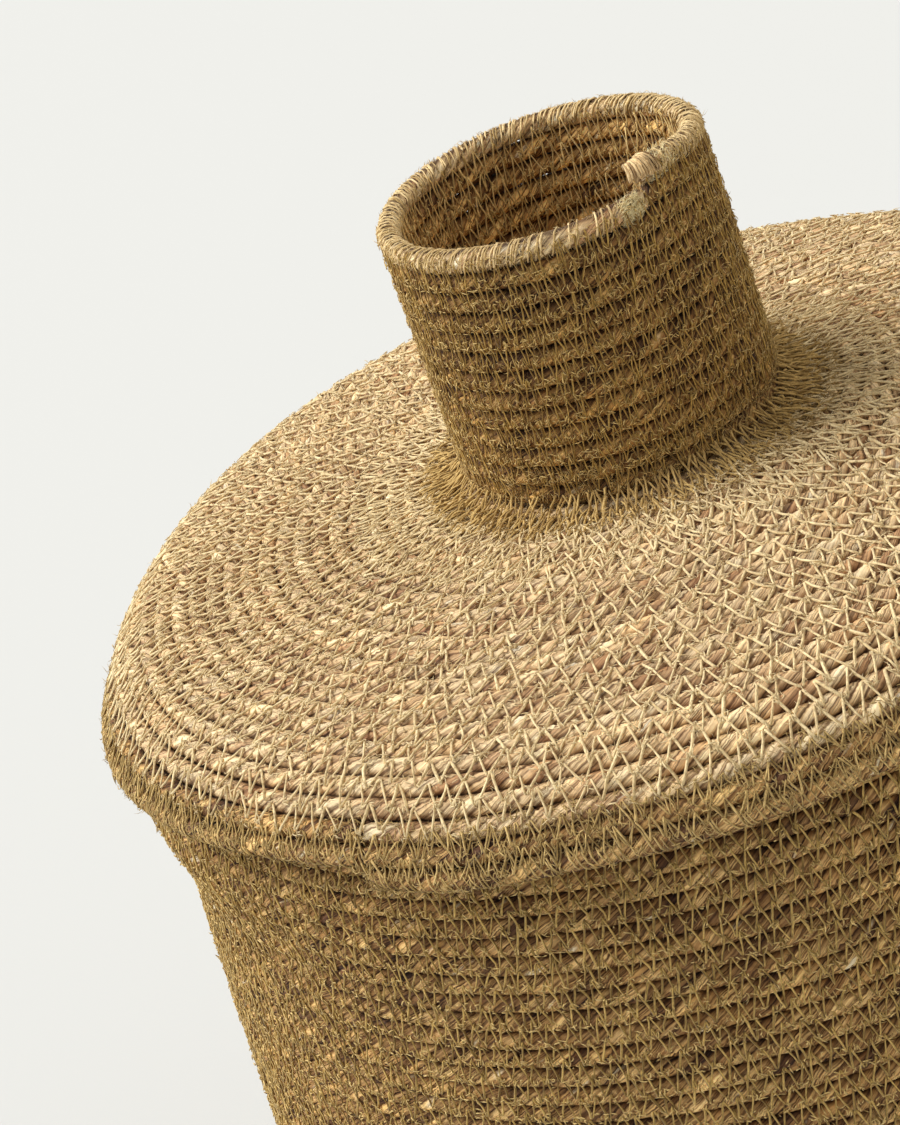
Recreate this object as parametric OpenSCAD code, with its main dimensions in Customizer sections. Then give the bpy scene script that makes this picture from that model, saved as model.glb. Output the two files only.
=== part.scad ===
// Lidded basket of twisted grass rope, coiled row upon row and sewn with zigzag thread.
// Z is up, the origin is the centre of the underside, and all lengths are in millimetres.
// Every coil is drawn as closed rows; the rope of the real one climbs one row in each turn.

/* [Rope and thread] */
// Distance from one row of rope to the next, measured along the coil's profile
row_pitch = 5; // [4.9:0.05:5.1]
// Diameter of the sewing thread
thread_d = 0.8; // [0.5:0.1:1]
// Thickness of the thread wound round an edge row
binding_t = 0.45; // [0.3:0.05:0.6]

/* [Basket] */
// Rows in the flat of the base, counted from the centre
base_rows = 26; // [20:1:30]
// Rows in the rounded corner between base and wall
corner_rows = 6; // [4:1:8]
// Rows in the wall, with the rim row
wall_rows = 46; // [30:1:56]
// Inward lean of the wall at its top, in degrees
wall_lean = 5.2; // [2:0.2:8]
// How much the lean changes from the top of the wall to its foot, in degrees
wall_lean_change = 7.2; // [4:0.2:10]

/* [Lid] */
// Rows in the gently domed top of the lid, counted from the centre
dome_rows = 25; // [24:1:26]
// Slope of the dome at its edge, in degrees
dome_slope = 8.5; // [6:0.5:12]
// Rows that roll over the shoulder
shoulder_rows = 3; // [3:1:3]
// Rows in the turned-down skirt
skirt_rows = 3; // [3:1:3]
// Height of the rim row's centre above the lower edge of the skirt
skirt_overlap = 9.6; // [7:0.1:9.6]

/* [Knob] */
// Row of the lid that the knob's tube stands on
knob_foot_row = 8; // [7:1:9]
// Rows in the knob's tube, with its rim row
knob_rows = 14; // [8:1:18]
// Outward flare of the tube, in degrees
knob_flare = 0.6; // [0:0.1:2]

/* [Rope ends] */
// Direction in which the knob's rope ends, in degrees from +X
knob_end_az = -55; // [-180:5:180]
// Direction in which the skirt's rope ends
skirt_end_az = -125; // [-180:5:180]
// Direction in which the rim's rope ends
rim_end_az = 35; // [-180:5:180]
// Length of each bare rope end
end_length = 9; // [6:0.5:12]

/* [Hidden] */
$fn = 64;
rope_r = 0.51 * row_pitch;
thread_r = thread_d / 2;
gap = 0.03;
bed_depth = 0.1;
base_z = rope_r - bed_depth;
// Each shoulder and skirt row turns this much further down than the row before it.
shoulder_step = 11.5;
// Distance of the tube's wall inside the lid row that it stands on.
foot_inset = 0.6 * row_pitch;
// A seam's thread lies in the valley between two rows, touching neither.
valley_depth = sqrt(pow(rope_r + thread_r + gap, 2) - pow(row_pitch / 2, 2));
bind_in = rope_r + gap;
bind_out = bind_in + binding_t;
// Half of the opening left in a binding, where the next row meets the edge row.
bind_mouth = 62;

// Points one row apart, each step taken in the direction of the next heading.
function walk(start, headings) =
    [for (i = 0, p = start; i <= len(headings);
          p = i < len(headings) ? p + row_pitch * [cos(headings[i]), sin(headings[i])] : p,
          i = i + 1) p];
function wall_heading(t) = 90 + wall_lean - wall_lean_change * pow(1 - t, 3);
function dome_heading(row) =
    -1 - (dome_slope - 1) * pow(max(0, (row - 6) / (dome_rows - 6)), 1.3);

body_rows = walk([0, base_z], concat(
    [for (i = [1 : base_rows]) 0],
    [for (i = [1 : corner_rows]) 90 * (i - 0.5) / corner_rows],
    [for (i = [1 : wall_rows]) wall_heading((i - 0.5) / wall_rows)]));
wall_start = base_rows + corner_rows;
rim_row = wall_start + wall_rows;
// The wall is drawn in three bands, which end at these rows.
lower_end = wall_start + round(wall_rows / 3);
middle_end = wall_start + round(2 * wall_rows / 3);

lid_rows_at_zero = walk([0, 0], concat(
    [for (i = [1 : dome_rows]) dome_heading(i)],
    [for (i = [1 : shoulder_rows + skirt_rows]) -shoulder_step * i]));
skirt_start = dome_rows + shoulder_rows;
skirt_row = skirt_start + skirt_rows;
lid_lift = body_rows[rim_row][1] - skirt_overlap + rope_r - lid_rows_at_zero[skirt_row][1];
lid_rows = [for (p = lid_rows_at_zero) p + [0, lid_lift]];

knob_points = walk(lid_rows[knob_foot_row] - [foot_inset, 0],
    [for (i = [1 : knob_rows]) 90 - knob_flare]);

straw = [0.78, 0.66, 0.46];
grass = [0.64, 0.50, 0.30];
linen = [0.72, 0.66, 0.46];

// The half plane on the positive side of the axis, which a profile is kept to.
module right_half() {
    intersection() {
        children();
        translate([0, -500]) square([1000, 1500]);
    }
}

// Rows first..last of a profile, pressed together into one coil.
module coil(points, first, last) {
    rotate_extrude()
        right_half()
            for (i = [first : last]) translate(points[i]) circle(r = rope_r);
}

// A single row that stops short of a full turn by the length of the rope's end.
module edge_row(point, end_az) {
    spread = end_length / point[0] * 180 / PI;
    rotate([0, 0, end_az])
        rotate_extrude(angle = 360 - spread) translate(point) circle(r = rope_r);
}

// The bare end of the rope, thinner than the row and lying against the row before it.
module rope_end(point, previous, end_az) {
    spread = end_length / point[0] * 180 / PI;
    thin_r = 0.7 * rope_r;
    towards = (previous - point) / norm(previous - point);
    rotate([0, 0, end_az - 0.95 * spread])
        rotate_extrude(angle = 0.9 * spread)
            translate(point + towards * (rope_r - thin_r - 5 * gap)) circle(r = thin_r);
}

// Thread rings in the valleys between rows, on the side that the sign picks:
// +1 is to the left of the profile's direction and -1 to its right. The stitches are flat and
// lie close together, so a ring is four-sided.
module seam(points, first, last, side) {
    rotate_extrude()
        for (i = [first : last - 1]) {
            along = (points[i + 1] - points[i]) / row_pitch;
            across = side * [-along[1], along[0]];
            translate((points[i] + points[i + 1]) / 2 + across * valley_depth)
                circle(r = thread_r, $fn = 4);
        }
}

// Thread wound round an edge row: a thin sleeve, open where the previous row joins on.
module binding(point, previous, end_az) {
    spread = end_length / point[0] * 180 / PI;
    inward = previous - point;
    rotate([0, 0, end_az])
        rotate_extrude(angle = 360 - spread)
            translate(point) rotate(atan2(inward[1], inward[0]))
                difference() {
                    circle(r = bind_out);
                    circle(r = bind_in);
                    polygon([[0, 0],
                             3 * rope_r * [cos(bind_mouth), sin(bind_mouth)],
                             3 * rope_r * [cos(bind_mouth), -sin(bind_mouth)]]);
                }
}

module base_coil() color(grass) difference() {
    coil(body_rows, 0, base_rows);
    translate([0, 0, -rope_r]) cylinder(r = 400, h = rope_r);
}
module corner_coil() color(grass) coil(body_rows, base_rows + 1, wall_start);
module wall_lower_coil() color(grass) coil(body_rows, wall_start + 1, lower_end);
module wall_middle_coil() color(grass) coil(body_rows, lower_end + 1, middle_end);
module wall_upper_coil() color(grass) coil(body_rows, middle_end + 1, rim_row - 1);
module rim_coil() color(grass) edge_row(body_rows[rim_row], rim_end_az);
module rim_rope_end() color(straw)
    rope_end(body_rows[rim_row], body_rows[rim_row - 1], rim_end_az);
module rim_binding() color(linen)
    binding(body_rows[rim_row], body_rows[rim_row - 1], rim_end_az);
module base_outer_seam() color(linen) seam(body_rows, 1, wall_start, -1);
module base_inner_seam() color(linen) seam(body_rows, 1, wall_start, 1);
module wall_outer_seam() color(linen) seam(body_rows, wall_start, rim_row - 1, -1);
module wall_inner_seam() color(linen) seam(body_rows, wall_start, rim_row - 1, 1);

module lid_centre_coil() color(straw) coil(lid_rows, 0, knob_foot_row - 1);
module lid_dome_coil() color(straw) coil(lid_rows, knob_foot_row, dome_rows);
module lid_shoulder_coil() color(straw) coil(lid_rows, dome_rows + 1, skirt_start);
module lid_skirt_coil() color(grass) coil(lid_rows, skirt_start + 1, skirt_row - 1);
module skirt_edge_coil() color(grass) edge_row(lid_rows[skirt_row], skirt_end_az);
module skirt_rope_end() color(straw)
    rope_end(lid_rows[skirt_row], lid_rows[skirt_row - 1], skirt_end_az);
module skirt_binding() color(linen)
    binding(lid_rows[skirt_row], lid_rows[skirt_row - 1], skirt_end_az);
module lid_outer_seam() color(linen) {
    seam(lid_rows, 1, knob_foot_row - 1, 1);
    seam(lid_rows, knob_foot_row + 2, skirt_row - 1, 1);
}
module lid_inner_seam() color(linen) seam(lid_rows, 1, skirt_row - 1, -1);

module knob_coil() color(grass) coil(knob_points, 1, knob_rows - 1);
module knob_rim_coil() color(grass) edge_row(knob_points[knob_rows], knob_end_az);
module knob_rope_end() color(straw)
    rope_end(knob_points[knob_rows], knob_points[knob_rows - 1], knob_end_az);
module knob_rim_binding() color(linen)
    binding(knob_points[knob_rows], knob_points[knob_rows - 1], knob_end_az);
module knob_outer_seam() color(linen) seam(knob_points, 2, knob_rows - 1, -1);
module knob_inner_seam() color(linen) seam(knob_points, 1, knob_rows - 1, 1);

// Dense stitches that tie the tube to the lid: a fillet in the corner outside the tube.
module knob_foot_seam() color(linen) {
    foot = knob_points[1];
    reach = 1.25 * row_pitch;
    rotate_extrude() difference() {
        polygon([foot, foot + [rope_r + thread_d, row_pitch / 2],
                 foot + [rope_r + 0.35 * reach, -0.1 * row_pitch],
                 foot + [rope_r + reach, -0.55 * row_pitch],
                 lid_rows[knob_foot_row + 1]]);
        for (i = [0 : 2]) translate(knob_points[i]) circle(r = bind_in);
        for (i = [knob_foot_row - 1 : knob_foot_row + 2])
            translate(lid_rows[i]) circle(r = bind_in);
    }
}

base_coil();
corner_coil();
wall_lower_coil();
wall_middle_coil();
wall_upper_coil();
rim_coil();
rim_rope_end();
rim_binding();
base_outer_seam();
base_inner_seam();
wall_outer_seam();
wall_inner_seam();
lid_centre_coil();
lid_dome_coil();
lid_shoulder_coil();
lid_skirt_coil();
skirt_edge_coil();
skirt_rope_end();
skirt_binding();
lid_outer_seam();
lid_inner_seam();
knob_coil();
knob_rim_coil();
knob_rope_end();
knob_rim_binding();
knob_outer_seam();
knob_inner_seam();
knob_foot_seam();
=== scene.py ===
import math

import bpy
import numpy as np
from mathutils import Matrix, Vector


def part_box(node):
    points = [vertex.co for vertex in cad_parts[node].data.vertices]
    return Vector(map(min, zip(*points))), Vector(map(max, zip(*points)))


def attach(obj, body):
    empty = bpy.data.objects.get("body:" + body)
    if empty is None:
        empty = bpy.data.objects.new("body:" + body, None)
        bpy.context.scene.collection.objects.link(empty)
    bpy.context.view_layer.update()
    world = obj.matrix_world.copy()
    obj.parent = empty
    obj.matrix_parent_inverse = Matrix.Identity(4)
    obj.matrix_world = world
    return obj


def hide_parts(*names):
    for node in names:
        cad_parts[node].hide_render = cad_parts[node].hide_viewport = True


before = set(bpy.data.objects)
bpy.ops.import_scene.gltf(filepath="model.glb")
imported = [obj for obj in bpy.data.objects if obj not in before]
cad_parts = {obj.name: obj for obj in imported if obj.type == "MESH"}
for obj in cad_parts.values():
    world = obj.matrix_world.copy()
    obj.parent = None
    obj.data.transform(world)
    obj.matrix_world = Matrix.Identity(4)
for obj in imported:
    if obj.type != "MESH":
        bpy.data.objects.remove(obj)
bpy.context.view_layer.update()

# ---------------------------------------------------------------- driving dimensions, in mm
MM = 0.001
ROW_PITCH = 5.0
ROPE_R = 0.51 * ROW_PITCH
THREAD_R = 0.30
TWIST_PITCH = 21.0          # length of rope in which its fibres go once round
LOBES = 5                   # bundles of fibres that show round the rope
WALL_STITCH, LID_STITCH, KNOB_STITCH = 1.95, 2.8, 1.1       # along the rope, from leg to leg
HIDDEN_STITCH = 2.6         # the same, inside and underneath

BASE_ROWS, CORNER_ROWS, WALL_ROWS = 26, 6, 46
WALL_LEAN, WALL_LEAN_CHANGE = 5.2, 7.2
DOME_ROWS, DOME_SLOPE = 25, 8.5
SHOULDER_ROWS, SKIRT_ROWS, SHOULDER_STEP = 3, 3, 11.5
KNOB_FOOT_ROW, KNOB_ROWS, KNOB_FLARE = 8, 14, 0.6
FOOT_INSET = 0.6 * ROW_PITCH
KNOB_END_AZ, SKIRT_END_AZ, RIM_END_AZ = -55.0, -125.0, 35.0
TIP, LOW_AZ = 0.0145, math.radians(135)     # how far the lid is from level, and which way
FAR_SAG = 2.4               # how far the lid and the rim under it have sunk at the far side
FAR_AZ, FAR_WIDTH = 62, 0.6
LID_R, RIM_R = 148, 136     # the lid's outer radius, and the basket's rim's

KNOTS = 4099                # random values that smooth noise runs through before it repeats
BAKE_MARGIN = 0.04          # share of its cell that a strand leaves free on each side
SHORT = (0, 0.25, 0.75, 1)                  # where the leg of a stitch has its points: few
LONG = (0, 0.1, 0.35, 0.65, 0.9, 1)         # if it's hidden, more if it's seen from near

BASE_Z = ROPE_R - 0.1
WALL_START = BASE_ROWS + CORNER_ROWS
RIM_ROW = WALL_START + WALL_ROWS
SKIRT_START = DOME_ROWS + SHOULDER_ROWS
SKIRT_ROW = SKIRT_START + SKIRT_ROWS
ROPE_START = 0.35           # each coil's middle, as near to its axis as the rope can bend
WALL_FOOT = WALL_START + 0.5                # the rope of the base and corner ends here
CENTRE_END = 7.6            # the lid's rope inside the knob ends here
OUTSIDE_KNOB = 8.6          # the lid's first stitches outside the knob


# ---------------------------------------------------------------- profiles of the coils
def walk(start, headings):
    """Points one row apart, each step taken in the direction of the next heading."""
    turns = np.radians(np.asarray(headings, float))
    steps = ROW_PITCH * np.stack([np.cos(turns), np.sin(turns)], 1)
    return np.asarray(start, float) + np.vstack([np.zeros(2), np.cumsum(steps, 0)])


def body_profile():
    """The rows of the base, the rounded corner and the wall, from the middle outwards."""
    corner = [90 * (i + 0.5) / CORNER_ROWS for i in range(CORNER_ROWS)]
    wall = [
        90 + WALL_LEAN - WALL_LEAN_CHANGE * (1 - (i + 0.5) / WALL_ROWS) ** 3
        for i in range(WALL_ROWS)
    ]
    return walk((0, BASE_Z), [0] * BASE_ROWS + corner + wall)


def lid_profile():
    """The lid's rows, hung so that the skirt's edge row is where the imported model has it."""
    dome = [
        -1 - (DOME_SLOPE - 1) * max(0.0, (i - 6) / (DOME_ROWS - 6)) ** 1.3
        for i in range(1, DOME_ROWS + 1)
    ]
    shoulder = [-SHOULDER_STEP * i for i in range(1, SHOULDER_ROWS + SKIRT_ROWS + 1)]
    rows = walk((0, 0), dome + shoulder)
    edge_z = (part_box("skirt_edge_coil")[0][2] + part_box("skirt_edge_coil")[1][2]) / 2 / MM
    return rows + [0, edge_z - rows[SKIRT_ROW][1]]


def knob_profile(lid_rows):
    """The knob's rows, up from between the lid's, and very nearly straight."""
    start = lid_rows[KNOB_FOOT_ROW] - [FOOT_INSET, 0]
    return walk(start, [90 - KNOB_FLARE] * KNOB_ROWS)


class Coil:
    """One rope wound along a profile. Its position is u, in rows, and it goes clockwise,
    seen from above, as u grows."""

    FINE = 24               # points to a row, along the smooth profile

    def __init__(self, rows, side, end_az, warp, stance=None):
        self.side, self.end_row, self.end_az = side, len(rows) - 1, math.radians(end_az)
        self.warp, self.stance = warp, stance
        ghost = np.vstack([2 * rows[0] - rows[1], rows, 2 * rows[-1] - rows[-2]])
        u = np.arange(self.end_row * self.FINE + 1) / self.FINE
        i = np.minimum(u.astype(int), self.end_row - 1)
        t = (u - i)[:, None]
        p0, p1, p2, p3 = ghost[i], ghost[i + 1], ghost[i + 2], ghost[i + 3]
        self.u = u
        self.p = 0.5 * (
            2 * p1 + (p2 - p0) * t + (2 * p0 - 5 * p1 + 4 * p2 - p3) * t**2
            + (3 * p1 - p0 - 3 * p2 + p3) * t**3
        )
        tangent = np.gradient(self.p, axis=0)
        self.t = tangent / np.linalg.norm(tangent, axis=1)[:, None]
        radius = np.maximum(self.p[:, 0], 0.6)
        turn = 2 * math.pi * radius
        self.s = np.concatenate([[0], np.cumsum((turn[1:] + turn[:-1]) / 2 / self.FINE)])

    def length(self, u):
        return np.interp(u, self.u, self.s)

    def u_at(self, s):
        return np.interp(s, self.s, self.u)

    def az(self, u):
        return self.end_az + 2 * math.pi * (self.end_row - np.asarray(u, float))

    def section(self, u):
        """Radius and height, the outward normal and the profile's direction, all at u."""
        u = np.asarray(u, float)
        over = np.maximum(u - self.end_row, 0) * ROW_PITCH
        r, z = (np.interp(u, self.u, self.p[:, k]) for k in (0, 1))
        tr, tz = (np.interp(u, self.u, self.t[:, k]) for k in (0, 1))
        r, z = r + tr * over, z + tz * over
        return r, z, -self.side * tz, self.side * tr, tr, tz

    def place(self, u, az, out, along=0.0):
        """Points at profile position u and direction az, 'out' off the rows' centre line
        and 'along' the profile."""
        r, z, nr, nz, tr, tz = self.section(u)
        dr, dz = self.warp(u, az)
        radial, height = r + nr * out + tr * along + dr, z + nz * out + tz * along + dz
        points = np.stack([radial * np.cos(az), radial * np.sin(az), height + 0 * az], -1)
        return points if self.stance is None else self.stance(points)


# ---------------------------------------------------------------- smooth noise
def wave(x, scale, seed):
    """Smooth noise between about -1 and 1 along x, with features about 'scale' long, and
    half as much that is half as long."""
    x = np.asarray(x, float)
    total = np.zeros_like(x)
    for k in (0, 1):
        knots = np.random.default_rng(seed + 101 * k).uniform(-1, 1, KNOTS)
        y = x / scale * 2**k
        i = np.floor(y).astype(int)
        f = y - i
        f = f * f * (3 - 2 * f)
        total += (knots[i % KNOTS] * (1 - f) + knots[(i + 1) % KNOTS] * f) / 2**k
    return total / 1.5


def ring_wave(az, count, seed):
    """Smooth noise round a full turn, made of the first few harmonics."""
    rng = np.random.default_rng(seed)
    total = 0
    for k in range(1, count + 1):
        total = total + rng.normal() / k * np.cos(k * az + rng.uniform(0, 2 * math.pi))
    return total


def tip(points):
    """The lid sits a little low at the back left, as one rigid body."""
    low = np.array([math.cos(LOW_AZ), math.sin(LOW_AZ)])
    reach = points[..., 0] * low[0] + points[..., 1] * low[1]
    rise = points[..., 2] - BODY_ROWS[RIM_ROW][1]
    return points + TIP * np.stack([rise * low[0], rise * low[1], -reach], -1)


def turn_from(az, centre):
    """Angle from a direction given in degrees, between -pi and pi."""
    return (np.asarray(az) - math.radians(centre) + math.pi) % (2 * math.pi) - math.pi


def hump(az, centre, width):
    """A smooth hump round a direction: 1 at its centre, falling away over 'width' radians."""
    return np.exp(-((turn_from(az, centre) / width) ** 2))


def lid_warp(u, az):
    """The lid isn't quite true. Its skirt waves a little, and droops where its rope ends and
    at the left, where its edge also turns out. Its far edge has sunk."""
    u = np.asarray(u, float)
    outer = np.clip((u - 12) / (DOME_ROWS - 12), 0, 1) ** 2
    low = np.clip((u - DOME_ROWS) / (SHOULDER_ROWS + SKIRT_ROWS), 0, 1.3)
    droop, left = hump(az, SKIRT_END_AZ + 9, 0.11), hump(az, SKIRT_END_AZ - 46, 0.5)
    dz = 0.35 * ring_wave(az, 5, 3) * (0.3 + low) - 0.9 * droop * low**2
    dz = dz - 4.6 * left * low**1.6 - FAR_SAG * hump(az, FAR_AZ, FAR_WIDTH) * outer
    dr = (0.4 * ring_wave(az, 4, 5) + 0.6 * droop - 1.2) * low
    dr = dr + 2.0 * left * low**2.5 + 3.0 * left * low**6
    dr = dr - 2.0 * hump(az, 155, 0.55) * outer
    return dr, dz


def body_warp(u, az):
    """The wall leans in and out a little, bulges at the left just under the lid, and its
    top is as far from level as the lid."""
    u = np.asarray(u, float)
    height = np.clip((u - WALL_START) / WALL_ROWS, 0, 1)
    bulge = 0.7 * ring_wave(az, 4, 11) * np.sin(math.pi * height) - 2.3
    dr = (bulge + 0.25 * wave(u * 3.1 + 0 * az, 5, 12)) * np.clip(height * 6, 0, 1)
    dr = dr + 5.8 * hump(az, -178, 0.6) * np.exp(-(((u - RIM_ROW + 5.3) / 2.3) ** 2))
    level = -TIP * RIM_R * np.cos(az - LOW_AZ) - FAR_SAG * hump(az, FAR_AZ, FAR_WIDTH)
    return dr, level * height**3


def knob_warp(u, az):
    """The knob's rim isn't level: it stands up at the near side where its rope ends."""
    height = np.clip(np.asarray(u, float) / KNOB_ROWS, 0, 1.1)
    dr = 0.7 + 0.3 * ring_wave(az, 3, 17) * height - 0.9 * height
    dr = dr + 1.9 * hump(az, 5, 0.7) * height**0.5 * (1.1 - 0.75 * height)
    dz = 1.6 - 0.9 * np.cos(az - math.radians(-60)) + 2.0 * hump(az, -95, 0.9)
    dz = dz + 2.4 * hump(az, -45, 0.4)
    return dr, dz * height**2


# ---------------------------------------------------------------- meshes
def add_mesh(name, verts_mm, faces, material, strand_uvs, bake_uvs, **values):
    """An object from points in mm, quads or triangles in arrays of one width each, and
    the UVs of their corners in the same order: those that follow the strand, for the
    material, and those that give each strand its own place. The other values are one for
    each point."""
    mesh = bpy.data.meshes.new(name)
    mesh.vertices.add(len(verts_mm))
    mesh.vertices.foreach_set("co", (np.asarray(verts_mm) * MM).astype(np.float32).ravel())
    loops = np.concatenate([f.ravel() for f in faces]).astype(np.int32)
    totals = np.concatenate([np.full(len(f), f.shape[1], np.int32) for f in faces])
    starts = np.concatenate([[0], np.cumsum(totals)[:-1]]).astype(np.int32)
    mesh.loops.add(len(loops))
    mesh.loops.foreach_set("vertex_index", loops)
    mesh.polygons.add(len(totals))
    mesh.polygons.foreach_set("loop_start", starts)
    mesh.polygons.foreach_set("loop_total", totals)
    mesh.polygons.foreach_set("use_smooth", np.ones(len(totals), bool))
    for layer, corners in (("OFBake", bake_uvs), ("strand", strand_uvs)):
        flat = np.concatenate([c.reshape(-1, 2) for c in corners]).astype(np.float32)
        mesh.uv_layers.new(name=layer).uv.foreach_set("vector", flat.ravel())
    for key, numbers in values.items():
        mesh.attributes.new(key, "FLOAT", "POINT").data.foreach_set(
            "value", np.asarray(numbers, np.float32).ravel()
        )
    mesh.update(calc_edges=True)
    mesh.materials.append(material)
    piece = bpy.data.objects.new(name, mesh)
    bpy.context.scene.collection.objects.link(piece)
    return piece


def grid_faces(rows, cols):
    """Quads of a grid of points, closed round its columns."""
    i = np.arange(rows - 1)[:, None]
    j = np.arange(cols)[None, :]
    k = (j + 1) % cols
    return np.stack([i * cols + j, i * cols + k, (i + 1) * cols + k, (i + 1) * cols + j], -1)


def rope(name, coil, u0, u1, step, sides, material, seed, taper_start=0, taper_end=0):
    """The rope between two rows: a twisted bundle with lumps, wandering a little, and
    pressed flat where it lies against the next rows. 'side' says how far a point is turned
    towards them, and 'inner' how far it is turned away from the outside."""
    s0, s1 = coil.length(u0), coil.length(u1)
    count = max(8, int((s1 - s0) / step))
    s = np.linspace(s0, s1, count + 1)
    u = coil.u_at(s)
    az = coil.az(u)
    phi = (np.arange(sides) + 0.5) / sides * 2 * math.pi - math.pi
    twist = -coil.side * 2 * math.pi * s / TWIST_PITCH
    twist = twist + 0.9 * wave(s, 30, seed) + 0.35 * wave(s, 7, seed + 1)
    psi = phi[None, :] + twist[:, None]
    bundle = psi + 0.3 * np.sin(psi + 0.7) + 0.18 * np.sin(2 * psi + 0.06 * s[:, None])
    crest = np.abs(np.cos(bundle * LOBES / 2)) ** 0.75
    girth = 1 + 0.05 * wave(s, 16, seed + 2) + 0.04 * wave(s, 5, seed + 3)
    side = np.abs(np.sin(phi))[None, :]
    grip = np.clip(0.68 + 0.45 * wave(s, 13, seed + 7), 0.25, 0.95)[:, None]
    pressed = side**4 * grip
    radius = ROPE_R * (girth[:, None] * (0.67 + 0.38 * crest) * (1 - pressed) + 1.06 * pressed)
    ends = np.ones_like(s)
    if taper_start:
        ends = np.minimum(ends, np.sqrt(np.clip((s - s0) / taper_start, 0, 1)))
    if taper_end:
        ends = np.minimum(ends, 0.35 + 0.65 * np.sqrt(np.clip((s1 - s) / taper_end, 0, 1)))
    ends[0] = ends[-1] = 0.0
    radius = radius * ends[:, None]
    sink = ROPE_R * (1 - ends) * 0.6
    out = 0.16 * wave(s, 22, seed + 5)[:, None] + radius * np.cos(phi)
    along = (0.14 * wave(s, 18, seed + 6) - sink)[:, None] + radius * np.sin(phi)
    verts = coil.place(u[:, None], az[:, None], out, along).reshape(-1, 3)
    quads = grid_faces(count + 1, sides)
    if coil.side > 0:
        quads = quads[..., ::-1]
    # strand: along the rope in cm, and round it in turns that follow its bundles
    v_edge = np.concatenate([bundle, bundle[:, :1] + 2 * math.pi], 1) / (2 * math.pi)
    su = np.broadcast_to(s[:, None] / 10, v_edge.shape)
    strand_uv = np.stack([su, v_edge], -1)
    i, j = np.arange(count)[:, None], np.arange(sides)[None, :]
    order = [(i, j), (i, j + 1), (i + 1, j + 1), (i + 1, j)]
    wide = max(1, int(math.sqrt(count * 2 * math.pi * ROPE_R / step)))
    lines = math.ceil(count / wide)
    line, column = i // wide, i % wide

    def bake(ii, jj):
        x = (column + (ii - i)) / wide + 0 * jj
        y = (line + BAKE_MARGIN + (1 - 2 * BAKE_MARGIN) * jj / sides) / lines
        return np.stack([x, y], -1)

    corners = np.stack([strand_uv[a, b] for a, b in order], -2)
    baked = np.stack([bake(a, b) for a, b in order], -2)
    if coil.side > 0:
        corners, baked = corners[..., ::-1, :], baked[..., ::-1, :]
    return add_mesh(
        name, verts, [quads.reshape(-1, 4)], material, [corners.reshape(-1, 4, 2)],
        [baked.reshape(-1, 4, 2)], side=np.broadcast_to(side, radius.shape),
        inner=np.broadcast_to(0.5 - 0.5 * np.cos(phi)[None, :], radius.shape),
    )


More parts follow.
